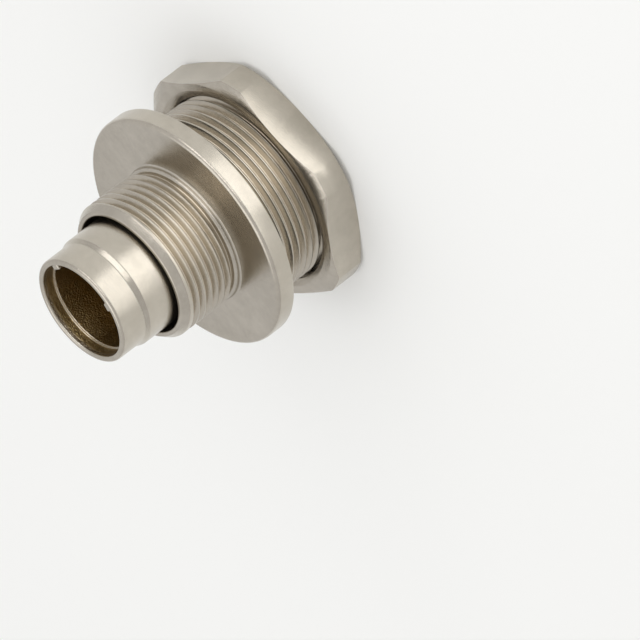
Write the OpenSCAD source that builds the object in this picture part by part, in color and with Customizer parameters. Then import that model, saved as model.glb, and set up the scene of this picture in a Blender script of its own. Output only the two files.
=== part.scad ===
// Circular panel connector with a threaded coupling sleeve and a panel nut
// The axis is Z, the mating front points up, and the flange's rear face is at z = 0

/* [Flange] */
// Diameter of the flange
flange_d = 15; // [14.6:0.1:17]
// Thickness of the flange
flange_t = 1.2; // [1.1:0.05:1.3]
// Rounding of the flange's front edge
flange_edge = 0.27; // [0.05:0.01:0.4]
// Depth of the recess for the panel seal
recess_depth = 0.6; // [0.4:0.05:0.7]

/* [Coupling sleeve] */
// Crest diameter of the coupling thread
coupling_d = 8.92; // [8.9:0.01:9]
// Height of the sleeve's lip over the flange's rear face
sleeve_h = 5.6; // [5.5:0.05:5.8]
// Bore of the sleeve, with a gap round the barrel
sleeve_bore_d = 7.72; // [7.5:0.02:7.8]
// Height of the plain collar over the flange
collar_h = 0.4; // [0.38:0.01:0.45]

/* [Rear thread] */
// Crest diameter of the panel thread
panel_thread_d = 11.89; // [11.85:0.01:12]
// Length of the shell behind the flange
rear_h = 4.7; // [4.5:0.05:6]
// Diameter of the rear end, after its chamfer
rear_end_d = 11.3; // [11:0.05:11.6]
// Length of the rear chamfer
rear_chamfer_h = 0.6; // [0.2:0.05:0.65]
// Bore of the rear cavity
cavity_d = 9.8; // [9.6:0.05:10.2]

/* [Barrel] */
// Height of the barrel's mouth over the flange's rear face
mouth_h = 9.43; // [9:0.01:10.5]
// Outer diameter of the barrel's root
barrel_d = 7.16; // [7.1:0.01:7.2]
// Outer diameter of the barrel's nose
nose_d = 6.84; // [6.7:0.02:7]
// Length of the nose, up to the step
nose_l = 1.71; // [1.5:0.05:2.5]
// Inner diameter of the barrel
socket_d = 5.8; // [5.7:0.02:5.9]
// Inner diameter of the counterbore at the mouth
mouth_d = 6.06; // [5.96:0.02:6.2]
// Depth of the counterbore
mouth_depth = 0.85; // [0.5:0.05:1.2]
// Width of a key
key_w = 0.58; // [0.3:0.02:0.8]
// Distance of a key's tip from the axis
key_tip_r = 2.72; // [2.6:0.01:2.85]

/* [Contacts] */
// Diameter of a contact pin
pin_d = 1; // [0.7:0.05:1]
// Diameter of the circle that the contacts stand on
contact_circle_d = 3.6; // [3.2:0.1:3.7]
// Height of the pins' tips over the flange's rear face
pin_tip_h = 6.2; // [5:0.1:6.6]

/* [Panel nut] */
// Width of the nut across its flats
nut_af = 14; // [13.5:0.1:14.5]
// Diameter to which the nut's corners are turned
nut_corner_d = 15.3; // [14.8:0.1:15.6]
// Thickness of the nut
nut_t = 2.3; // [2:0.1:3]
// Gap between the flange and the nut
nut_gap = 3.4; // [0.4:0.1:4]
// Angle of the nut about the axis
nut_turn = 10; // [0:1:60]

/* [Hidden] */
$fn = 120;

nickel = [0.76, 0.73, 0.68];
bright_nickel = [0.81, 0.79, 0.75];
black_plastic = [0.09, 0.085, 0.08];
gold = [0.83, 0.66, 0.33];
black_rubber = [0.06, 0.06, 0.06];

// Fine metric thread of 60 degrees, drawn as rings
pitch = 0.5;
thread_depth = 0.61*pitch;
crest_w = pitch/8;
flank_w = thread_depth*tan(30);
coupling_turns = 6;
panel_turns = 7;
coupling_first_z = 2.03;
panel_first_z = -3.45;
land_w = 0.15;

flange_r = flange_d/2;
coupling_r = coupling_d/2;
panel_thread_r = panel_thread_d/2;
rear_end_r = rear_end_d/2;
cavity_r = cavity_d/2;
sleeve_bore_r = sleeve_bore_d/2;

// Small edges of the turned pieces
edge = 0.1;
collar_round = 0.22;
collar_fillet = 0.12;
undercut_extra = 0.03;
undercut_r = coupling_r - thread_depth - undercut_extra;
lip_drop = 0.26;
lip_r = coupling_r - lip_drop;
lip_round = 0.16;
lip_inner_round = 0.12;
lip_turn = 30;

// Seal in a recess of the flange's rear face, round the thread's root
seal_r = 6.25;
seal_section_d = 0.8;
recess_r = 6.7;

// Stack inside the shell, from the barrel's shoulder to the rear
gap_floor_z = 2.2;
shoulder_z = 0.9;
barrel_foot_z = 0.3;
carrier_rear_z = -0.5;
ring_rear_z = -2;
boss_rear_z = -1.5;
carrier_front_z = 2.4;
fit_gap = 0.02;

barrel_r = barrel_d/2;
nose_r = nose_d/2;
socket_r = socket_d/2;
mouth_r = mouth_d/2;
step_l = 0.32;
mouth_round = 0.2;
key_drop = 0.05;
key_l = mouth_depth + edge - key_drop;
key_angles = [255, 345];
key_root = 0.15;
foot_r = cavity_r - fit_gap;

contact_count = 5;
pin_r = pin_d/2;
contact_turn = 115;
cup_r = 0.62;
cup_bore_r = 0.42;
cup_rear_z = -3.9;
cup_floor_z = -2.2;
cup_open = 0.7;

ring_bore_r = 3.5;
boss_clear = 0.1;
boss_r = ring_bore_r - boss_clear;
slot_w = 1;
slot_depth = 0.7;

nut_clear = 0.06;
nut_bore_r = panel_thread_r + nut_clear;
nut_face_r = nut_af/2;
nut_drop = 0.31;
countersink_r = 6.52;
countersink_depth = 0.25;

// Points along an arc, for a rounded edge in a profile
function arc(centre, r, from, to, steps = 5) =
    [for (i = [0:steps]) let (a = from + (to - from)*i/steps) centre + r*[cos(a), sin(a)]];

// Profile of a run of thread ridges, the first one at first_z
function ridges(crest_r, first_z, turns) =
    [for (i = [0:turns - 1], p = [[-thread_depth, -crest_w/2 - flank_w], [0, -crest_w/2],
        [0, crest_w/2], [-thread_depth, crest_w/2 + flank_w]])
        [crest_r + p[0], first_z + i*pitch + p[1]]];

// Rear end, plain land, panel thread and the recess for the seal
function rear_profile() = let (land_z = panel_first_z - pitch + crest_w/2) concat(
    [[cavity_r + edge, -rear_h], [rear_end_r, -rear_h], [panel_thread_r, rear_chamfer_h - rear_h]],
    [[panel_thread_r, land_z], [panel_thread_r - thread_depth, land_z + flank_w]],
    ridges(panel_thread_r, panel_first_z, panel_turns),
    [[panel_thread_r - thread_depth, recess_depth], [recess_r, recess_depth], [recess_r, 0]]);

// Flange with its edges and the fillet to the collar
function flange_profile() = concat(
    [[flange_r - edge, 0], [flange_r, edge]],
    arc([flange_r - flange_edge, flange_t - flange_edge], flange_edge, 0, 90),
    arc([coupling_r + collar_fillet, flange_t + collar_fillet], collar_fillet, 270, 180));

// Round-edged collar, undercut, coupling thread and the chamfered lip
function sleeve_profile() = let (
    collar_top = flange_t + collar_h,
    land_z = coupling_first_z + coupling_turns*pitch - crest_w/2,
    lip_z = sleeve_h - lip_round) concat(
    arc([coupling_r - collar_round, collar_top - collar_round], collar_round, 0, 90),
    [[undercut_r, collar_top], [undercut_r, coupling_first_z - crest_w/2 - flank_w]],
    ridges(coupling_r, coupling_first_z, coupling_turns),
    [[coupling_r - thread_depth, land_z - flank_w], [coupling_r, land_z], [coupling_r, land_z + land_w]],
    arc([lip_r - lip_round, lip_z], lip_round, lip_turn, 90));

// Inside of the shell, from the lip to the rear end
function bore_profile() = concat(
    arc([sleeve_bore_r + lip_inner_round, sleeve_h - lip_inner_round], lip_inner_round, 90, 180),
    [[sleeve_bore_r, gap_floor_z], [barrel_r + fit_gap, gap_floor_z], [barrel_r + fit_gap, shoulder_z]],
    [[cavity_r, shoulder_z], [cavity_r, edge - rear_h]]);

module shell() {
    color(nickel)
        rotate_extrude()
            polygon(concat(rear_profile(), flange_profile(), sleeve_profile(), bore_profile()));
}

// Stepped tube with a foot that the shell's shoulder holds
module barrel_tube() {
    rotate_extrude()
        polygon(concat(
            [[socket_r, barrel_foot_z], [foot_r, barrel_foot_z], [foot_r, shoulder_z]],
            [[barrel_r, shoulder_z], [barrel_r, mouth_h - nose_l - step_l], [nose_r, mouth_h - nose_l]],
            arc([nose_r - mouth_round, mouth_h - mouth_round], mouth_round, 0, 90),
            [[mouth_r, mouth_h], [mouth_r, mouth_h - mouth_depth], [socket_r, mouth_h - mouth_depth]]));
}

// Two inward keys at the mouth
module keys() {
    for (angle = key_angles)
        rotate(angle)
            translate([key_tip_r, -key_w/2, mouth_h - mouth_depth - edge])
                cube([mouth_r + key_root - key_tip_r, key_w, key_l]);
}

module barrel() {
    color(bright_nickel) {
        barrel_tube();
        keys();
    }
}

// Places its children at contact number i
module at_contact(i) {
    rotate(contact_turn + i*360/contact_count)
        translate([contact_circle_d/2, 0, 0])
            children();
}

// Moulded insulator: a plug in the barrel, a clamped collar and a rear boss
module contact_carrier() {
    plug_r = socket_r - fit_gap;
    color(black_plastic)
        difference() {
            rotate_extrude()
                polygon([[0, boss_rear_z], [boss_r, boss_rear_z], [boss_r, carrier_rear_z],
                    [foot_r, carrier_rear_z], [foot_r, barrel_foot_z], [plug_r, barrel_foot_z],
                    [plug_r, carrier_front_z - edge], [plug_r - edge, carrier_front_z], [0, carrier_front_z]]);
            for (i = [0:contact_count - 1])
                at_contact(i)
                    translate([0, 0, boss_rear_z - 1])
                        cylinder(r = pin_r, h = carrier_front_z - boss_rear_z + 2);
        }
}

// Ring in the rear bore, with two slots for a pin spanner
module retaining_ring() {
    color(nickel)
        difference() {
            rotate_extrude()
                polygon([[ring_bore_r, ring_rear_z], [cavity_r - edge, ring_rear_z],
                    [cavity_r, ring_rear_z + edge], [cavity_r, carrier_rear_z], [ring_bore_r, carrier_rear_z]]);
            translate([-cavity_r, -slot_w/2, ring_rear_z - slot_depth])
                cube([cavity_d, slot_w, 2*slot_depth]);
        }
}

module panel_seal() {
    color(black_rubber)
        rotate_extrude()
            translate([seal_r, recess_depth - seal_section_d/2])
                circle(d = seal_section_d, $fn = 32);
}

// Pin with a round tip and a solder cup that is cut open on its outer side
module contact(i) {
    color(gold)
        at_contact(i)
            difference() {
                rotate_extrude()
                    polygon(concat(
                        [[0, cup_rear_z], [cup_r, cup_rear_z], [cup_r, boss_rear_z], [pin_r, boss_rear_z]],
                        arc([0, pin_tip_h - pin_r], pin_r, 0, 90)));
                translate([0, 0, cup_rear_z - edge])
                    cylinder(r = cup_bore_r, h = cup_floor_z - cup_rear_z + edge);
                translate([0, -cup_r, cup_rear_z - edge])
                    cube([2*cup_r, 2*cup_r, (cup_floor_z - cup_rear_z)*cup_open]);
            }
}

// Hexagon with turned corners, chamfered faces and a countersunk bore
module panel_nut() {
    corner_r = nut_corner_d/2;
    color(bright_nickel)
        translate([0, 0, -nut_gap - nut_t])
            difference() {
                intersection() {
                    rotate(nut_turn)
                        cylinder(d = nut_af/cos(30), h = nut_t, $fn = 6);
                    rotate_extrude()
                        polygon([[0, 0], [nut_face_r, 0], [corner_r, nut_drop],
                            [corner_r, nut_t - nut_drop], [nut_face_r, nut_t], [0, nut_t]]);
                }
                rotate_extrude()
                    polygon([[0, -1], [countersink_r, -1], [countersink_r, 0], [nut_bore_r, countersink_depth],
                        [nut_bore_r, nut_t - countersink_depth], [countersink_r, nut_t],
                        [countersink_r, nut_t + 1], [0, nut_t + 1]]);
            }
}

shell();
barrel();
contact_carrier();
retaining_ring();
panel_seal();
panel_nut();
for (i = [0:contact_count - 1])
    contact(i);
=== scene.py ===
"""Looks of a circular panel connector: nickel-plated turned pieces, gold pins and the studio round them."""
import math

import bpy
from mathutils import Matrix, Vector


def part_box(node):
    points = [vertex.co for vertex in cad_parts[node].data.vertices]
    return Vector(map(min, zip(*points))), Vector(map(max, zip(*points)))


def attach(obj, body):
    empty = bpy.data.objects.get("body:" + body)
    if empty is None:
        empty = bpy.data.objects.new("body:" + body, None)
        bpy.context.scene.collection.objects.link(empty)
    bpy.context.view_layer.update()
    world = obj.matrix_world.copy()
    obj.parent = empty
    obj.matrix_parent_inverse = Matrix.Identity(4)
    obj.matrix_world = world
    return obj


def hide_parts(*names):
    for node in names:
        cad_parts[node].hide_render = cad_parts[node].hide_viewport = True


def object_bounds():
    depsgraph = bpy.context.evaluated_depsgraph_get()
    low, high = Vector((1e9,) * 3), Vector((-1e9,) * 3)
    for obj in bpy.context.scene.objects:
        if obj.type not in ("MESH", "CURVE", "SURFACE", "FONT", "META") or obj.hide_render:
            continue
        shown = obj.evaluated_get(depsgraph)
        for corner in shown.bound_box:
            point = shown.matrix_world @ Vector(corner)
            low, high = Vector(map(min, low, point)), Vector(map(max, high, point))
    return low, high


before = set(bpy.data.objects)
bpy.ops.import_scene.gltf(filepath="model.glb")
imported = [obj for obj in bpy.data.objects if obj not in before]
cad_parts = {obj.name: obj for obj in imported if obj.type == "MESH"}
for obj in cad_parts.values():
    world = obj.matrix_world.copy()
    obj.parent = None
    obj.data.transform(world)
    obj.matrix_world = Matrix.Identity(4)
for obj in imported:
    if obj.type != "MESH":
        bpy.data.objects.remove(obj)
cad_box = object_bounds()

MM = 0.001


def heights(node):
    """Lowest and highest point of a CAD node, in mm."""
    low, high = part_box(node)
    return low.z / MM, high.z / MM


# Heights over the flange's rear face, from the frame
REAR_END, LIP = heights("shell")
BARREL_FOOT, MOUTH = heights("barrel")
BOSS_REAR, CARRIER_FRONT = heights("contact_carrier")
RING_REAR, RING_FRONT = heights("retaining_ring")
SEAL_LOW, SEAL_TOP = heights("panel_seal")
NUT_LOW, NUT_TOP = heights("panel_nut")
CUP_REAR, PIN_TIP = heights("contact_1")

# Flange and shell, in mm and degrees
FLANGE_R = 7.5
FLANGE_T = 1.2
FLANGE_ROUND = 0.27
COUPLING_R = 4.46
COLLAR_TOP = 1.6
COLLAR_FILLET = 0.12
COLLAR_ROUND = 0.22
UNDERCUT_R = 4.125
UNDERCUT_TOP = 1.8
LIP_CHAMFER = 5.15
LIP_TURN = 30
LIP_R = 4.2
LIP_ROUND = 0.16
LIP_INNER_ROUND = 0.12
SLEEVE_BORE_R = 3.86
GAP_FLOOR = 2.2
SHOULDER = 0.9
CAVITY_R = 4.9
PANEL_THREAD_R = 5.945
REAR_END_R = 5.65
REAR_CHAMFER = 0.6
RELIEF_LOW = -0.243
RECESS_R = 6.7
FIT_GAP = 0.02

# Fine metric thread of 60 degrees, in mm and degrees
PITCH = 0.5
THREAD_DEPTH = 0.305
CREST_W = PITCH / 8
FLANK_TURN = 30
FLANK = math.tan(math.radians(FLANK_TURN))
ARC_TURN = 90 - FLANK_TURN
CREST_TURN = 12
CREST_ROUND = 0.025
GROOVE_CLEAR = 0.05
FADE_TURN = 50

# Where each groove starts about the axis in degrees and along it in mm, and its turns
COUPLING_GROOVE = (300, 1.822, 6.58)
PANEL_GROOVE = (30, -4.033, 8)
NUT_GROOVE = (0, NUT_LOW - PITCH / 2, 6)

# Barrel, in mm and degrees
BARREL_R = 3.58
NOSE_R = 3.42
NOSE_L = 1.71
STEP_L = 0.32
SOCKET_R = 2.9
MOUTH_R = 3.03
MOUTH_DEPTH = 0.85
MOUTH_ROUND = 0.2
MOUTH_INNER_ROUND = 0.13
KEY_TURNS = (255, 345)
KEY_W = 0.58
KEY_TIP_R = 2.72
KEY_ROOT_R = 3.18
KEY_DROP = 0.05
KEY_SEAT = 0.1
KEY_ROUND = 0.11

# Contacts, carrier and ring, in mm and degrees
CONTACT_COUNT = 5
CONTACT_CIRCLE_R = 1.8
CONTACT_TURN = 115
PIN_R = 0.5
CUP_R = 0.62
CUP_BORE_R = 0.42
CUP_FLOOR = -2.2
CUP_OPEN = 0.7
RING_BORE_R = 3.5
BOSS_R = 3.4
SLOT_W = 1.0
SLOT_DEPTH = 0.7

# Seal and nut, in mm and degrees
SEAL_R = 6.25
MOULD_LINE = 0.015
MOULD_LINE_TURN = 4
NUT_SIDES = 6
NUT_AF = 14.0
NUT_CORNER_R = 7.65
NUT_FACE_R = 7.0
NUT_DROP = 0.31
NUT_TURN = 10
NUT_BORE_R = 6.005
COUNTERSINK_R = 6.52
COUNTERSINK_DEPTH = 0.25
NUT_THREAD_ROOT_R = 6.25

# Width to which each piece's edges are broken, in mm
TURNED_EDGE = 0.05
CARRIER_EDGE = 0.08
RING_EDGE = 0.06
PIN_EDGE = 0.03
NUT_EDGE = 0.03

# How far cutters reach past what they cut, in mm
OVERRUN = 1

# Mesh fineness, with the merging distance in mm
TURN_STEPS = 192
ARC_STEPS = 6
CREST_STEPS = 3
TIP_STEPS = 10
SEAL_STEPS = 40
EDGE_SEGMENTS = 2
KEY_SEGMENTS = 4
MERGE = 0.001
SMOOTH_ANGLE = math.radians(20)


def rounding(centre, radius, start, end, steps=ARC_STEPS):
    """Points (radius, height) along an arc about a centre, from one angle to another in degrees."""
    angles = [math.radians(start + (end - start) * i / steps) for i in range(steps + 1)]
    return [(centre[0] + radius * math.cos(a), centre[1] + radius * math.sin(a)) for a in angles]


def place(point):
    """A (radius, height) point in mm as a place in the plane y = 0."""
    return Vector((point[0] * MM, 0, point[1] * MM))


def about_axis(degrees):
    """A turn about the connector's axis."""
    return Matrix.Rotation(math.radians(degrees), 4, "Z")


def wire(name, points, closed=True):
    """One vertex extruded from point to point: the outline of a section. It stays in edit mode."""
    bpy.ops.object.select_all(action="DESELECT")
    bpy.ops.mesh.primitive_plane_add(size=MM)
    piece = bpy.context.object
    piece.name = piece.data.name = name
    bpy.ops.object.mode_set(mode="EDIT")
    bpy.ops.mesh.select_all(action="SELECT")
    bpy.ops.mesh.merge(type="CENTER")
    bpy.ops.transform.translate(value=place(points[0]))
    route = points + points[:1] if closed else points
    for here, there in zip(route, route[1:]):
        bpy.ops.mesh.extrude_region_move(TRANSFORM_OT_translate={"value": place(there) - place(here)})
    bpy.ops.mesh.select_all(action="SELECT")
    bpy.ops.mesh.remove_doubles(threshold=MERGE * MM)
    return piece


def block(size, centre):
    """A cube stretched to a size at its place, in mm, for a key or a cut. It stays in edit mode."""
    bpy.ops.object.select_all(action="DESELECT")
    bpy.ops.mesh.primitive_cube_add(size=MM)
    made = bpy.context.object
    bpy.ops.object.mode_set(mode="EDIT")
    bpy.ops.mesh.select_all(action="SELECT")
    bpy.ops.transform.resize(value=size)
    bpy.ops.transform.translate(value=Vector(centre) * MM)
    return made


def close_up():
    """Merges doubles and turns the faces outwards, in edit mode, then goes back to object mode."""
    bpy.ops.mesh.select_all(action="SELECT")
    bpy.ops.mesh.remove_doubles(threshold=MERGE * MM)
    bpy.ops.mesh.normals_make_consistent(inside=False)
    bpy.ops.object.mode_set(mode="OBJECT")


def turned(name, points, closed=True):
    """A piece off the lathe: its outline spun about the axis."""
    piece = wire(name, points, closed)
    bpy.ops.mesh.select_all(action="SELECT")
    bpy.ops.mesh.spin(steps=TURN_STEPS, angle=math.tau, center=(0, 0, 0), axis=(0, 0, 1))
    close_up()
    return piece


def apply(piece, modifier):
    """Applies a modifier to its piece."""
    bpy.context.view_layer.objects.active = piece
    bpy.ops.object.modifier_apply(modifier=modifier.name)


def combine(piece, tool, operation):
    """Cuts, joins or intersects a piece with another, which is used up."""
    modifier = piece.modifiers.new(operation, "BOOLEAN")
    modifier.operation = operation
    modifier.solver = "MANIFOLD"
    modifier.object = tool
    apply(piece, modifier)
    bpy.data.objects.remove(tool)


def break_edges(piece, width):
    """Rounds the sharp edges by a width in mm, as tumbling and plating do."""
    modifier = piece.modifiers.new("broken_edges", "BEVEL")
    modifier.width = width * MM
    modifier.segments = EDGE_SEGMENTS
    modifier.limit_method = "ANGLE"
    modifier.angle_limit = SMOOTH_ANGLE
    modifier.harden_normals = False
    apply(piece, modifier)


def groove_section(depth):
    """Points (depth from the root, height) of a thread's groove, with a round root and round crests."""
    half_w = (PITCH - CREST_W) / 2
    root_round = half_w / FLANK - depth
    crest = (depth - CREST_ROUND, half_w + CREST_ROUND * FLANK)
    root = [(2 * root_round - x, z) for x, z in rounding((root_round, 0), root_round, -ARC_TURN, ARC_TURN)]
    upper = rounding(crest, CREST_ROUND, -ARC_TURN, -CREST_TURN, CREST_STEPS)
    upper.append((depth + GROOVE_CLEAR, upper[-1][1]))
    return root + upper + [(x, -z) for x, z in reversed(upper)]


def thread_groove(name, crest_r, root_r, groove, run_in=0, run_out=0):
    """A right-hand helical cutter for a thread, as deep as root_r, with a fading start or end in degrees."""
    start_turn, start_z, turns = groove
    side = 1 if crest_r > root_r else -1
    over_r = crest_r + side * GROOVE_CLEAR
    section = [(root_r + side * depth, z) for depth, z in groove_section(abs(crest_r - root_r))]
    steps = round(TURN_STEPS * turns)
    cutter = wire(name, section)
    bpy.ops.object.mode_set(mode="OBJECT")
    screw = cutter.modifiers.new("helix", "SCREW")
    screw.axis = "Z"
    screw.angle = math.tau * turns
    screw.screw_offset = PITCH * MM * turns
    screw.iterations = 1
    screw.steps = screw.render_steps = steps
    screw.use_normal_calculate = True
    apply(cutter, screw)
    # The screw leaves one section's points after another, so a point's number gives its turn
    for number, vertex in enumerate(cutter.data.vertices):
        degrees = 360 * turns * (number // len(section)) / steps
        left = 360 * turns - degrees
        fade = max(0, 1 - degrees / run_in) if run_in else 0
        fade += max(0, 1 - left / run_out) if run_out else 0
        flat = Vector((vertex.co.x, vertex.co.y, 0))
        vertex.co += flat.normalized() * side * fade * abs(over_r - root_r) * MM
    cutter.data.transform(Matrix.Translation((0, 0, start_z * MM)) @ about_axis(start_turn))
    bpy.context.view_layer.objects.active = cutter
    bpy.ops.object.mode_set(mode="EDIT")
    bpy.ops.mesh.select_all(action="SELECT")
    bpy.ops.mesh.fill_holes(sides=len(section))
    close_up()
    return cutter


def smooth(piece):
    """Smooth shading with true edges, in which the large faces stay flat beside their small roundings."""
    bpy.ops.object.select_all(action="DESELECT")
    piece.select_set(True)
    bpy.context.view_layer.objects.active = piece
    bpy.ops.object.shade_smooth_by_angle(angle=SMOOTH_ANGLE)
    flatten = piece.modifiers.new("flat_faces", "WEIGHTED_NORMAL")
    flatten.mode = "FACE_AREA"
    flatten.keep_sharp = True
    apply(piece, flatten)


def shell_body():
    """Turned shell: rear thread, flange, coupling sleeve and the stepped bore."""
    relief_r = PANEL_THREAD_R - THREAD_DEPTH
    flank = THREAD_DEPTH * FLANK
    outline = [(CAVITY_R, REAR_END), (REAR_END_R, REAR_END), (PANEL_THREAD_R, REAR_END + REAR_CHAMFER)]
    outline += [(PANEL_THREAD_R, RELIEF_LOW - flank), (relief_r, RELIEF_LOW)]
    outline += [(relief_r, SEAL_TOP), (RECESS_R, SEAL_TOP), (RECESS_R, 0), (FLANGE_R, 0)]
    outline += rounding((FLANGE_R - FLANGE_ROUND, FLANGE_T - FLANGE_ROUND), FLANGE_ROUND, 0, 90)
    outline += rounding((COUPLING_R + COLLAR_FILLET, FLANGE_T + COLLAR_FILLET), COLLAR_FILLET, 270, 180)
    outline += rounding((COUPLING_R - COLLAR_ROUND, COLLAR_TOP - COLLAR_ROUND), COLLAR_ROUND, 0, 90)
    outline += [(UNDERCUT_R, COLLAR_TOP), (UNDERCUT_R, UNDERCUT_TOP)]
    outline += [(COUPLING_R, UNDERCUT_TOP + (COUPLING_R - UNDERCUT_R) * FLANK), (COUPLING_R, LIP_CHAMFER)]
    outline += rounding((LIP_R - LIP_ROUND, LIP - LIP_ROUND), LIP_ROUND, LIP_TURN, 90)
    inner_r = SLEEVE_BORE_R + LIP_INNER_ROUND
    outline += rounding((inner_r, LIP - LIP_INNER_ROUND), LIP_INNER_ROUND, 90, 180)
    outline += [(SLEEVE_BORE_R, GAP_FLOOR), (BARREL_R + FIT_GAP, GAP_FLOOR)]
    outline += [(BARREL_R + FIT_GAP, SHOULDER), (CAVITY_R, SHOULDER)]
    piece = turned("shell_body", outline)
    break_edges(piece, TURNED_EDGE)
    coupling = thread_groove("coupling_groove", COUPLING_R, COUPLING_R - THREAD_DEPTH, COUPLING_GROOVE,
                             run_out=FADE_TURN)
    combine(piece, coupling, "DIFFERENCE")
    panel_thread = thread_groove("panel_groove", PANEL_THREAD_R, relief_r, PANEL_GROOVE, run_in=FADE_TURN)
    combine(piece, panel_thread, "DIFFERENCE")
    return piece


def key_block(turn):
    """A small round-edged key, at its place inside the barrel's mouth."""
    low, high = MOUTH - MOUTH_DEPTH - KEY_SEAT, MOUTH - KEY_DROP
    size = (KEY_ROOT_R - KEY_TIP_R, KEY_W, high - low)
    key = block(size, ((KEY_ROOT_R + KEY_TIP_R) / 2, 0, (low + high) / 2))
    bpy.ops.mesh.bevel(offset=KEY_ROUND * MM, segments=KEY_SEGMENTS, affect="EDGES")
    bpy.ops.object.mode_set(mode="OBJECT")
    key.data.transform(about_axis(turn))
    return key


def barrel_tube():
    """Stepped tube with a foot, a round mouth and two keys."""
    step_low, step_high = MOUTH - NOSE_L - STEP_L, MOUTH - NOSE_L
    foot_r = CAVITY_R - FIT_GAP
    outline = [(SOCKET_R, BARREL_FOOT), (foot_r, BARREL_FOOT), (foot_r, SHOULDER), (BARREL_R, SHOULDER)]
    outline += [(BARREL_R, step_low), (NOSE_R, step_high)]
    outline += rounding((NOSE_R - MOUTH_ROUND, MOUTH - MOUTH_ROUND), MOUTH_ROUND, 0, 90)
    outline += rounding((MOUTH_R + MOUTH_INNER_ROUND, MOUTH - MOUTH_INNER_ROUND), MOUTH_INNER_ROUND, 90, 180)
    outline += [(MOUTH_R, MOUTH - MOUTH_DEPTH), (SOCKET_R, MOUTH - MOUTH_DEPTH)]
    piece = turned("barrel_tube", outline)
    break_edges(piece, TURNED_EDGE)
    for turn in KEY_TURNS:
        combine(piece, key_block(turn), "UNION")
    return piece


def at_contact(piece, number):
    """Moves a mesh from the axis to the place of a contact."""
    turn = about_axis(CONTACT_TURN + number * 360 / CONTACT_COUNT)
    piece.data.transform(turn @ Matrix.Translation((CONTACT_CIRCLE_R * MM, 0, 0)))
    return piece


def pin_hole(number):
    """A round bar through the carrier at the place of a contact, to cut its hole."""
    low, high = BOSS_REAR - OVERRUN, CARRIER_FRONT + OVERRUN
    bar = turned("pin_hole", [(0, low), (PIN_R, low), (PIN_R, high), (0, high)], closed=False)
    return at_contact(bar, number)


def carrier_moulding():
    """Moulded insulator with a hole for each contact."""
    plug_r, collar_r = SOCKET_R - FIT_GAP, CAVITY_R - FIT_GAP
    outline = [(0, BOSS_REAR), (BOSS_R, BOSS_REAR), (BOSS_R, RING_FRONT), (collar_r, RING_FRONT)]
    outline += [(collar_r, BARREL_FOOT), (plug_r, BARREL_FOOT), (plug_r, CARRIER_FRONT), (0, CARRIER_FRONT)]
    piece = turned("carrier_moulding", outline, closed=False)
    break_edges(piece, CARRIER_EDGE)
    for number in range(CONTACT_COUNT):
        combine(piece, pin_hole(number), "DIFFERENCE")
    return piece


def ring_slotted():
    """Clamping ring with a spanner slot across its rear face."""
    outline = [(RING_BORE_R, RING_REAR), (CAVITY_R, RING_REAR)]
    outline += [(CAVITY_R, RING_FRONT), (RING_BORE_R, RING_FRONT)]
    piece = turned("ring_slotted", outline)
    slot = block((2 * (CAVITY_R + OVERRUN), SLOT_W, 2 * SLOT_DEPTH), (0, 0, RING_REAR))
    bpy.ops.object.mode_set(mode="OBJECT")
    combine(piece, slot, "DIFFERENCE")
    break_edges(piece, RING_EDGE)
    return piece


def seal_ring():
    """Rubber ring with a fine mould line round its outside."""
    section_r = (SEAL_TOP - SEAL_LOW) / 2
    centre = (SEAL_R, SEAL_TOP - section_r)
    outline = rounding(centre, section_r, MOULD_LINE_TURN, 360 - MOULD_LINE_TURN, SEAL_STEPS)
    outline.append((SEAL_R + section_r + MOULD_LINE, centre[1]))
    return turned("seal_ring", outline)


def contact_pin(number):
    """Turned pin with a round tip and a solder cup cut open on its outer side."""
    outline = [(0, CUP_FLOOR), (CUP_BORE_R, CUP_FLOOR), (CUP_BORE_R, CUP_REAR), (CUP_R, CUP_REAR)]
    outline += [(CUP_R, BOSS_REAR), (PIN_R, BOSS_REAR)]
    outline += rounding((0, PIN_TIP - PIN_R), PIN_R, 0, 90, TIP_STEPS)
    piece = turned(f"pin_{number + 1}", outline, closed=False)
    break_edges(piece, PIN_EDGE)
    depth = (CUP_FLOOR - CUP_REAR) * CUP_OPEN
    window = block((2 * CUP_R, 2 * (CUP_R + OVERRUN), 2 * depth), (CUP_R, 0, CUP_REAR))
    bpy.ops.object.mode_set(mode="OBJECT")
    combine(piece, window, "DIFFERENCE")
    return at_contact(piece, number)


def nut_hexagon():
    """Thin hexagon nut: a turned ring cut to its flats, with a thread in its bore."""
    outline = [(COUNTERSINK_R, NUT_LOW), (NUT_FACE_R, NUT_LOW), (NUT_CORNER_R, NUT_LOW + NUT_DROP)]
    outline += [(NUT_CORNER_R, NUT_TOP - NUT_DROP), (NUT_FACE_R, NUT_TOP), (COUNTERSINK_R, NUT_TOP)]
    outline += [(NUT_BORE_R, NUT_TOP - COUNTERSINK_DEPTH), (NUT_BORE_R, NUT_LOW + COUNTERSINK_DEPTH)]
    piece = turned("nut_hexagon", outline)
    corner_r = NUT_AF / 2 / math.cos(math.pi / NUT_SIDES)
    bar_l = NUT_TOP - NUT_LOW + 2 * OVERRUN
    bpy.ops.object.select_all(action="DESELECT")
    bpy.ops.mesh.primitive_cylinder_add(vertices=NUT_SIDES, radius=corner_r * MM, depth=bar_l * MM)
    flats = bpy.context.object
    middle = Matrix.Translation((0, 0, (NUT_LOW + NUT_TOP) / 2 * MM))
    flats.data.transform(middle @ about_axis(NUT_TURN + 180 / NUT_SIDES))
    combine(piece, flats, "INTERSECT")
    break_edges(piece, NUT_EDGE)
    combine(piece, thread_groove("nut_groove", NUT_BORE_R, NUT_THREAD_ROOT_R, NUT_GROOVE), "DIFFERENCE")
    return piece


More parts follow.
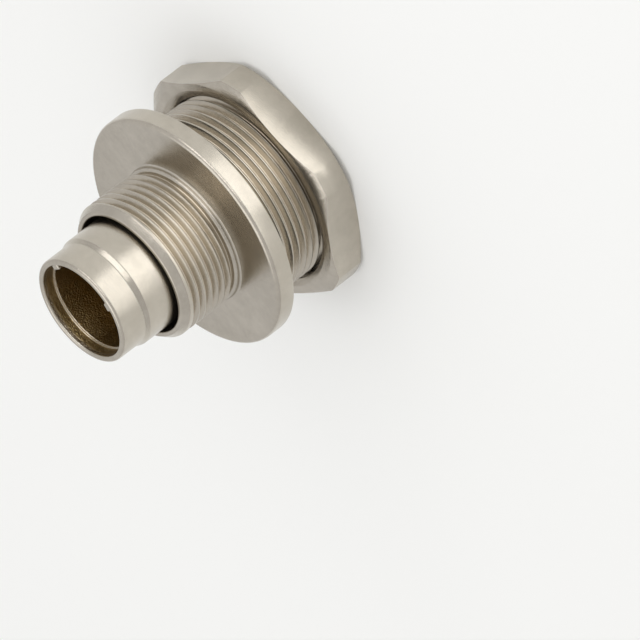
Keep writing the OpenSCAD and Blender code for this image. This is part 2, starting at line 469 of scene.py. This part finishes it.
# Colours of the finishes
NICKEL_LIGHT, NICKEL_DARK = "#C6BFB3", "#B3ACA0"
# Painted shade: the darker, warmer tone mixed into the thread's grooves
GROOVE_SHADE = "#C0B6A6"
THIN_PLATE, BARE_BRASS = "#B59E72", "#8E784E"
PLASTIC_BLACK, PLASTIC_FIBRE = "#191817", "#2E2C2A"
GOLD_LIGHT, GOLD_DARK = "#E0BC66", "#D2A952"
RUBBER_BLACK, RUBBER_BLOOM = "#131313", "#1E1E1D"
PAPER_WHITE = "#F2F2F0"

# Roughness of the finishes, and its spread
SATIN, BRIGHT = 0.23, 0.22
GLOSS_SPREAD = (-0.02, 0.04)
BORE_ROUGHNESS = 0.32
PLASTIC_ROUGHNESS = (0.38, 0.62)
GOLD_ROUGHNESS = (0.2, 0.34)
RUBBER_ROUGHNESS = (0.5, 0.72)
PAPER_ROUGHNESS = 0.9

# Sizes of the patterns, in mm
CLOUD = 2.5
# The real grain is about 0.03, drawn coarser so that it shows
GRAIN, GRAIN_DEPTH = 0.06, 0.006
# The real feed is about 0.05, drawn coarser so that it shows
FEED, FEED_DEPTH = 0.12, 0.0012
GRIT, GRIT_DEPTH = 0.1, 0.06
FIBRE, FIBRE_DEPTH = 0.1, 0.004
GOLD_PATCH = 0.6
BLOOM = 0.8
RUBBER_SKIN, SKIN_DEPTH = 0.06, 0.003

# Layers of finer noise in each pattern, their strength in the cloudy tone, and a noise's usual range
CLOUD_LAYERS, CLOUD_SPECKLE = 6, 0.75
FINE_LAYERS = 2
FEED_LAYERS = 1
BLOOM_LAYERS = 3
NOISE_LOW, NOISE_HIGH = 0.3, 0.7

# Scale that draws the fibres' noise out along Y and Z, and the range of it that shows
FIBRE_DRAW = 0.25
FIBRE_SHOWN = (0.52, 0.75)

# Thin plate ends just past the bore's wall and near the mouth, in mm, and where a surface faces the front
WALL_FADE = (0.02, 0.06)
MOUTH_FADE = (0.4, 0.1)
FACING_FADE = (0.1, 0.5)

# Sockets out of which a Mix node's number and colour come
MIX_NUMBER, MIX_COLOUR = 0, 2

# Threads whose grooves get a painted shade, darker and warmer towards the root: crest radius, lowest and
# highest point, in mm
SHADED_THREAD_RUNS = ((COUPLING_R, COLLAR_TOP, LIP_CHAMFER), (PANEL_THREAD_R, REAR_END + REAR_CHAMFER, 0))


def linear(hex_colour):
    """An sRGB hex colour as linear RGBA."""
    parts = [int(hex_colour[i:i + 2], 16) / 255 for i in (1, 3, 5)]
    return [p / 12.92 if p <= 0.04045 else ((p + 0.055) / 1.055) ** 2.4 for p in parts] + [1]


def add(tree, kind, inputs=None, **settings):
    """Adds a node: settings are its properties, inputs its sockets' values or the sockets that feed them."""
    made = tree.nodes.new("ShaderNode" + kind)
    for name, value in settings.items():
        setattr(made, name, value)
    for socket, value in (inputs or {}).items():
        if isinstance(value, bpy.types.NodeSocket):
            tree.links.new(value, made.inputs[socket])
        else:
            made.inputs[socket].default_value = value
    return made


def start_material(name):
    """An empty material with its surface shader and output."""
    material = bpy.data.materials.new(name)
    material.use_nodes = True
    tree = material.node_tree
    tree.nodes.clear()
    surface = add(tree, "BsdfPrincipled")
    add(tree, "OutputMaterial", {"Surface": surface.outputs["BSDF"]})
    return material, tree, surface


def lathe_place(tree, here):
    """Radius, height, and both as a place with no turn, on which a pattern runs round the axis."""
    flat = add(tree, "VectorMath", {0: here, 1: (1, 1, 0)}, operation="MULTIPLY")
    radius = add(tree, "VectorMath", {0: flat.outputs["Vector"]}, operation="LENGTH").outputs["Value"]
    height = add(tree, "SeparateXYZ", {"Vector": here}).outputs["Z"]
    return radius, height, add(tree, "CombineXYZ", {"X": radius, "Z": height}).outputs["Vector"]


def in_groove(tree, radius, height, thread):
    """How deep a point lies in a thread's groove, from 0 at the crests to 1 at the root."""
    crest_r, low, high = thread
    deep = add(tree, "MapRange", {"Value": radius, "From Min": (crest_r - THREAD_DEPTH) * MM,
                                  "From Max": crest_r * MM, "To Min": 1, "To Max": 0}).outputs["Result"]
    over = add(tree, "Math", {0: height, 1: low * MM}, operation="GREATER_THAN").outputs["Value"]
    under = add(tree, "Math", {0: height, 1: high * MM}, operation="LESS_THAN").outputs["Value"]
    along = add(tree, "Math", {0: over, 1: under}, operation="MULTIPLY").outputs["Value"]
    return add(tree, "Math", {0: along, 1: deep}, operation="MULTIPLY").outputs["Value"]


def in_bore(tree, radius, height, facing, bore_r):
    """1 on a bore's wall, and 0 outside it, near the mouth and where the surface faces the front."""
    within = add(tree, "MapRange", {"Value": radius, "From Min": (bore_r + WALL_FADE[0]) * MM,
                                    "From Max": (bore_r + WALL_FADE[1]) * MM,
                                    "To Min": 1, "To Max": 0}).outputs["Result"]
    below = add(tree, "MapRange", {"Value": height, "From Min": (MOUTH - MOUTH_FADE[0]) * MM,
                                   "From Max": (MOUTH - MOUTH_FADE[1]) * MM,
                                   "To Min": within, "To Max": 0}).outputs["Result"]
    return add(tree, "MapRange", {"Value": facing, "From Min": FACING_FADE[0], "From Max": FACING_FADE[1],
                                  "To Min": below, "To Max": 0}).outputs["Result"]


def nickel_plate(name, roughness, bore_r=0, shaded_threads=()):
    """Nickel plate on turned brass: a warm grey metal, satin from its fine grain, with faint lathe marks."""
    material, tree, surface = start_material(name)
    surface.inputs["Metallic"].default_value = 1
    surface_point = add(tree, "TexCoord")
    here = surface_point.outputs["Object"]
    radius, height, round_axis = lathe_place(tree, here)
    cloud = add(tree, "TexNoise", {"Vector": here, "Scale": 1 / (CLOUD * MM), "Detail": CLOUD_LAYERS,
                                   "Roughness": CLOUD_SPECKLE}).outputs["Fac"]
    tone = add(tree, "MapRange", {"Value": cloud, "From Min": NOISE_LOW,
                                  "From Max": NOISE_HIGH}).outputs["Result"]
    colour = add(tree, "Mix", {"Factor": tone, "A": linear(NICKEL_DARK), "B": linear(NICKEL_LIGHT)},
                 data_type="RGBA").outputs[MIX_COLOUR]
    grain = add(tree, "TexNoise", {"Vector": here, "Scale": 1 / (GRAIN * MM), "Detail": FINE_LAYERS})
    pits = grain.outputs["Fac"]
    rough = add(tree, "MapRange", {"Value": pits, "From Min": NOISE_LOW, "From Max": NOISE_HIGH,
                                   "To Min": roughness + GLOSS_SPREAD[0],
                                   "To Max": roughness + GLOSS_SPREAD[1]}).outputs["Result"]
    for thread in shaded_threads:
        # Painted shade: down in the thread's grooves the colour turns darker and warmer towards the root
        groove_shade = in_groove(tree, radius, height, thread)
        colour = add(tree, "Mix", {"Factor": groove_shade, "A": colour, "B": linear(GROOVE_SHADE)},
                     data_type="RGBA").outputs[MIX_COLOUR]
    if bore_r:
        # Inside, the plate is thin and rough, and the brass under it shows in patches
        facing = add(tree, "SeparateXYZ", {"Vector": surface_point.outputs["Normal"]}).outputs["Z"]
        inside = in_bore(tree, radius, height, facing, bore_r)
        patchy = add(tree, "Mix", {"Factor": tone, "A": linear(BARE_BRASS), "B": linear(THIN_PLATE)},
                     data_type="RGBA").outputs[MIX_COLOUR]
        colour = add(tree, "Mix", {"Factor": inside, "A": colour, "B": patchy},
                     data_type="RGBA").outputs[MIX_COLOUR]
        rough = add(tree, "Mix", {"Factor": inside, "A": rough, "B": BORE_ROUGHNESS}).outputs[MIX_NUMBER]
        grit = add(tree, "TexNoise", {"Vector": here, "Scale": 1 / (GRIT * MM), "Detail": FINE_LAYERS})
        swell = add(tree, "Math", {0: inside, 1: GRIT_DEPTH / GRAIN_DEPTH}, operation="MULTIPLY")
        pits = add(tree, "Math", {0: grit.outputs["Fac"], 1: swell.outputs["Value"], 2: pits},
                   operation="MULTIPLY_ADD").outputs["Value"]
    tree.links.new(colour, surface.inputs["Base Color"])
    tree.links.new(rough, surface.inputs["Roughness"])
    marks = add(tree, "TexNoise", {"Vector": round_axis, "Scale": 1 / (FEED * MM), "Detail": FEED_LAYERS})
    grained = add(tree, "Bump", {"Height": pits, "Strength": 1, "Distance": GRAIN_DEPTH * MM})
    marked = add(tree, "Bump", {"Height": marks.outputs["Fac"], "Strength": 1, "Distance": FEED_DEPTH * MM,
                                "Normal": grained.outputs["Normal"]})
    tree.links.new(marked.outputs["Normal"], surface.inputs["Normal"])
    return material


def filled_plastic(name):
    """Glass-filled polyamide, moulded: black with short pale fibres in its skin and a dull uneven gloss."""
    material, tree, surface = start_material(name)
    here = add(tree, "TexCoord").outputs["Object"]
    along = add(tree, "Mapping", {"Vector": here, "Scale": (1, FIBRE_DRAW, FIBRE_DRAW)}).outputs["Vector"]
    fibres = add(tree, "TexNoise", {"Vector": along, "Scale": 1 / (FIBRE * MM),
                                    "Detail": FINE_LAYERS}).outputs["Fac"]
    shown = add(tree, "MapRange", {"Value": fibres, "From Min": FIBRE_SHOWN[0], "From Max": FIBRE_SHOWN[1]})
    colour = add(tree, "Mix", {"Factor": shown.outputs["Result"], "A": linear(PLASTIC_BLACK),
                               "B": linear(PLASTIC_FIBRE)}, data_type="RGBA")
    tree.links.new(colour.outputs[MIX_COLOUR], surface.inputs["Base Color"])
    rough = add(tree, "MapRange", {"Value": fibres, "To Min": PLASTIC_ROUGHNESS[0],
                                   "To Max": PLASTIC_ROUGHNESS[1]})
    tree.links.new(rough.outputs["Result"], surface.inputs["Roughness"])
    bump = add(tree, "Bump", {"Height": fibres, "Strength": 1, "Distance": FIBRE_DEPTH * MM})
    tree.links.new(bump.outputs["Normal"], surface.inputs["Normal"])
    return material


def gold_on_brass(name):
    """Thin gold on turned brass: a bright yellow metal, paler and darker in patches, with lathe marks."""
    material, tree, surface = start_material(name)
    surface.inputs["Metallic"].default_value = 1
    here = add(tree, "TexCoord").outputs["Object"]
    patch = add(tree, "TexNoise", {"Vector": here, "Scale": 1 / (GOLD_PATCH * MM),
                                   "Detail": FINE_LAYERS}).outputs["Fac"]
    colour = add(tree, "Mix", {"Factor": patch, "A": linear(GOLD_DARK), "B": linear(GOLD_LIGHT)},
                 data_type="RGBA")
    tree.links.new(colour.outputs[MIX_COLOUR], surface.inputs["Base Color"])
    rough = add(tree, "MapRange", {"Value": patch, "To Min": GOLD_ROUGHNESS[0], "To Max": GOLD_ROUGHNESS[1]})
    tree.links.new(rough.outputs["Result"], surface.inputs["Roughness"])
    height = add(tree, "SeparateXYZ", {"Vector": here}).outputs["Z"]
    along = add(tree, "CombineXYZ", {"Z": height}).outputs["Vector"]
    marks = add(tree, "TexNoise", {"Vector": along, "Scale": 1 / (FEED * MM), "Detail": FEED_LAYERS})
    bump = add(tree, "Bump", {"Height": marks.outputs["Fac"], "Strength": 1, "Distance": FEED_DEPTH * MM})
    tree.links.new(bump.outputs["Normal"], surface.inputs["Normal"])
    return material


def moulded_rubber(name):
    """Nitrile rubber, moulded: near black, dull, with a faint grey bloom and the fine skin of its mould."""
    material, tree, surface = start_material(name)
    here = add(tree, "TexCoord").outputs["Object"]
    patch = add(tree, "TexNoise", {"Vector": here, "Scale": 1 / (BLOOM * MM), "Detail": BLOOM_LAYERS})
    colour = add(tree, "Mix", {"Factor": patch.outputs["Fac"], "A": linear(RUBBER_BLACK),
                               "B": linear(RUBBER_BLOOM)}, data_type="RGBA")
    tree.links.new(colour.outputs[MIX_COLOUR], surface.inputs["Base Color"])
    skin = add(tree, "TexNoise", {"Vector": here, "Scale": 1 / (RUBBER_SKIN * MM),
                                  "Detail": FINE_LAYERS}).outputs["Fac"]
    rough = add(tree, "MapRange", {"Value": skin, "To Min": RUBBER_ROUGHNESS[0],
                                   "To Max": RUBBER_ROUGHNESS[1]})
    tree.links.new(rough.outputs["Result"], surface.inputs["Roughness"])
    bump = add(tree, "Bump", {"Height": skin, "Strength": 1, "Distance": SKIN_DEPTH * MM})
    tree.links.new(bump.outputs["Normal"], surface.inputs["Normal"])
    return material


satin_nickel = nickel_plate("satin_nickel_plate", SATIN, shaded_threads=SHADED_THREAD_RUNS)
bright_nickel = nickel_plate("bright_nickel_plate", BRIGHT)
barrel_nickel = nickel_plate("barrel_nickel_plate", BRIGHT, bore_r=MOUTH_R)
black_plastic = filled_plastic("glass_filled_polyamide")
gold_plate = gold_on_brass("gold_plate")
black_rubber = moulded_rubber("nitrile_rubber")


def finish_piece(piece, node, body, material):
    """Shading, finish and the piece's place in the frame."""
    smooth(piece)
    piece.data.materials.clear()
    piece.data.materials.append(material)
    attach(piece, body)
    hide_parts(node)


finish_piece(shell_body(), "shell", "connector", satin_nickel)
finish_piece(barrel_tube(), "barrel", "connector", barrel_nickel)
finish_piece(carrier_moulding(), "contact_carrier", "connector", black_plastic)
finish_piece(ring_slotted(), "retaining_ring", "connector", satin_nickel)
finish_piece(seal_ring(), "panel_seal", "connector", black_rubber)
finish_piece(nut_hexagon(), "panel_nut", "nut", bright_nickel)
for number in range(CONTACT_COUNT):
    finish_piece(contact_pin(number), f"contact_{number + 1}", "connector", gold_plate)

# Camera at the photograph's angle, tilted down and rolled, in mm, degrees and pixels
ELEVATION, ROLL = 27.29, -127.49
DISTANCE = 866.5
LENS = 866.8
SENSOR_W = 36
NEAR_CLIP, FAR_CLIP = 10, 20000
PIXELS_PER_MM = 17.784
FRAME_CENTRE = (320, 320)
AIM = Vector((0, 0, 0.85))
AIM_PIXEL = (189.05, 229.29)


def camera():
    """The camera, placed so that the aim point falls on its pixel."""
    data = bpy.data.cameras.new("camera")
    data.sensor_width = SENSOR_W
    data.lens = LENS
    data.clip_start, data.clip_end = NEAR_CLIP * MM, FAR_CLIP * MM
    made = bpy.data.objects.new("camera", data)
    bpy.context.scene.collection.objects.link(made)
    tilt = Matrix.Rotation(math.radians(90 - ELEVATION), 3, "X")
    turn = tilt @ Matrix.Rotation(math.radians(ROLL), 3, "Z")
    right = (AIM_PIXEL[0] - FRAME_CENTRE[0]) / PIXELS_PER_MM
    up = (FRAME_CENTRE[1] - AIM_PIXEL[1]) / PIXELS_PER_MM
    made.location = (AIM - turn @ Vector((right, up, -DISTANCE))) * MM
    made.rotation_euler = turn.to_euler()
    bpy.context.scene.camera = made


camera()

# Floor's size in mm, its faint gloss, and its glow where it is seen or mirrored
FLOOR_W = 4000
PAPER_GLOSS = 0.1
PAPER_GLOW = 0.05


def white_paper(name):
    """White paper: dull and evenly pale, with a faint glow where the eye or the metal sees it."""
    material, tree, surface = start_material(name)
    surface.inputs["Base Color"].default_value = linear(PAPER_WHITE)
    surface.inputs["Roughness"].default_value = PAPER_ROUGHNESS
    surface.inputs["Specular IOR Level"].default_value = PAPER_GLOSS
    surface.inputs["Emission Color"].default_value = (1, 1, 1, 1)
    rays = add(tree, "LightPath")
    seen = add(tree, "Math", {0: rays.outputs["Is Camera Ray"], 1: rays.outputs["Is Glossy Ray"]})
    seen = add(tree, "Math", {0: seen.outputs["Value"], 1: rays.outputs["Is Transmission Ray"]},
               use_clamp=True)
    glow = add(tree, "Math", {0: seen.outputs["Value"], 1: PAPER_GLOW}, operation="MULTIPLY")
    tree.links.new(glow.outputs["Value"], surface.inputs["Emission Strength"])
    return material


bpy.ops.object.select_all(action="DESELECT")
bpy.ops.mesh.primitive_plane_add(size=FLOOR_W * MM, location=(0, 0, cad_box[0].z))
floor = bpy.context.object
floor.name = "floor"
floor.data.materials.append(white_paper("white_paper"))

# Soft light panels that face the connector: place and sides in mm, and brightness, where 1 is white
ROOM_PANELS = {
    "key": ((139, -241, 112), (380, 110), 1.6),
    "overhead": ((0, 20, 300), (285, 253), 0.8),
}
# Small panels that lie just over the floor in front and face up, for the bands of light along the metal
LOW_PANELS = {
    "front_near": ((1, -12), (10, 5), 1.0),
    "front_middle": ((1.5, -19), (15.5, 9), 0.95),
    "front_far": ((3, -38), (31, 28), 1.3),
    "front_left": ((-21, -36), (18, 28), 0.95),
}
LOW_GAP = 0.1


def panel(name, centre, towards, sides, brightness):
    """A soft light panel that faces a point."""
    data = bpy.data.lights.new(name, "AREA")
    data.shape = "RECTANGLE"
    data.size, data.size_y = sides[0] * MM, sides[1] * MM
    data.energy = brightness * math.pi * data.size * data.size_y
    made = bpy.data.objects.new(name, data)
    bpy.context.scene.collection.objects.link(made)
    made.location = Vector(centre) * MM
    made.rotation_euler = (Vector(centre) - Vector(towards)).to_track_quat("Z", "Y").to_euler()


for name, (centre, sides, brightness) in ROOM_PANELS.items():
    panel(name, centre, (0, 0, 0), sides, brightness)
for name, ((x, y), sides, brightness) in LOW_PANELS.items():
    panel(name, (x, y, NUT_LOW + LOW_GAP), (x, y, 0), sides, brightness)

# Brightness of the room at the horizon, midway up and overhead, and how high midway is
HORIZON, MIDWAY, ZENITH = 0.68, 0.74, 0.8
MIDWAY_HEIGHT = 0.45


def pale_room(name):
    """A plain pale room all round, a little dimmer towards the horizon."""
    world = bpy.data.worlds.new(name)
    bpy.context.scene.world = world
    world.use_nodes = True
    tree = world.node_tree
    height = add(tree, "SeparateXYZ", {"Vector": add(tree, "TexCoord").outputs["Generated"]}).outputs["Z"]
    ramp = add(tree, "ValToRGB", {"Fac": height})
    steps = ramp.color_ramp.elements
    steps[0].color = (HORIZON, HORIZON, HORIZON, 1)
    steps[1].color = (ZENITH, ZENITH, ZENITH, 1)
    steps.new(MIDWAY_HEIGHT).color = (MIDWAY, MIDWAY, MIDWAY, 1)
    tree.links.new(ramp.outputs["Color"], tree.nodes["Background"].inputs["Color"])


pale_room("studio")

bpy.context.scene.view_settings.view_transform = "Standard"
